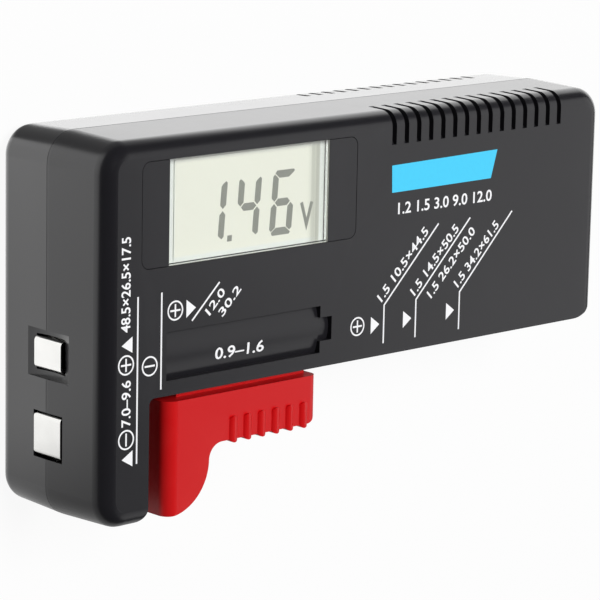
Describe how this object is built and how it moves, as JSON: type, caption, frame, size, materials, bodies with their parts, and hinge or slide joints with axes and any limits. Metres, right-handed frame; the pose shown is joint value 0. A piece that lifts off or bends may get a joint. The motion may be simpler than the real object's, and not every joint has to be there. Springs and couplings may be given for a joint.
{
  "type": "battery tester",
  "caption": "Hand-held battery tester with a display, a sprung slider that grips a cell against the body's leg, and end windows for nine-volt snaps.",
  "frame": {"origin": "centre of the footprint on the flat back the tester lies on", "axes": "+X along the body, from the end with the snap windows to the far end and the way the slider opens; +Y from the cell bay to the grooved top edge; +Z out of the face with the display"},
  "size_m": [0.11, 0.06, 0.0259],
  "materials": {
    "housing": "fine satin moulding grain",
    "slider": "semi-gloss moulding",
    "bezel": "fine satin moulding grain",
    "clear_cover": "clear moulded cover, polished",
    "lcd_glass": "polished",
    "lcd_film": "frosted film",
    "reflector": "satin foil",
    "nickel": "bright nickel plate",
    "steel": "zinc plate",
    "board": "solder mask",
    "epoxy": "potting blob",
    "ferrite": "sintered",
    "can": "drawn can",
    "trimmer": "moulded",
    "ceramic": "fired",
    "holder": "moulded",
    "zebra": "layered silicone",
    "red_sleeve": "extruded insulation",
    "black_sleeve": "extruded insulation"
  },
  "bodies": {
    "body": {"front_shell": "housing", "rear_shell": "housing", "display_bezel": "bezel", "display_window": "clear_cover", "lcd_polarizer": "lcd_film", "lcd_glass": "lcd_glass", "lcd_reflector": "reflector", "zebra_connector": "zebra", "lcd_holder": "holder", "circuit_board": "board", "controller_chip": "epoxy", "boost_inductor": "ferrite", "electrolytic_capacitor": "can", "trimmer": "trimmer", "chip_components": "ceramic", "nine_volt_positive_contact": "nickel", "nine_volt_negative_contact": "nickel", "cell_negative_contact": "nickel", "spring_anchor": "nickel", "nine_volt_positive_lead": "red_sleeve", "nine_volt_negative_lead": "black_sleeve", "cell_negative_lead": "black_sleeve", "cell_positive_lead": "red_sleeve", "case_screws": "steel", "board_screws": "steel", "return_spring": "nickel"},
    "slider": {"slider_arm": "slider", "slider_contact": "nickel", "contact_screw": "steel"}
  },
  "joints": [
    {"name": "slider_travel", "type": "slide", "parent": "body", "child": "slider", "axis": [1, 0, 0], "range_m": [0, 0.062], "stiffness_N_per_m": 40, "springref_m": -0.035, "deforming": ["return_spring"]}
  ]
}
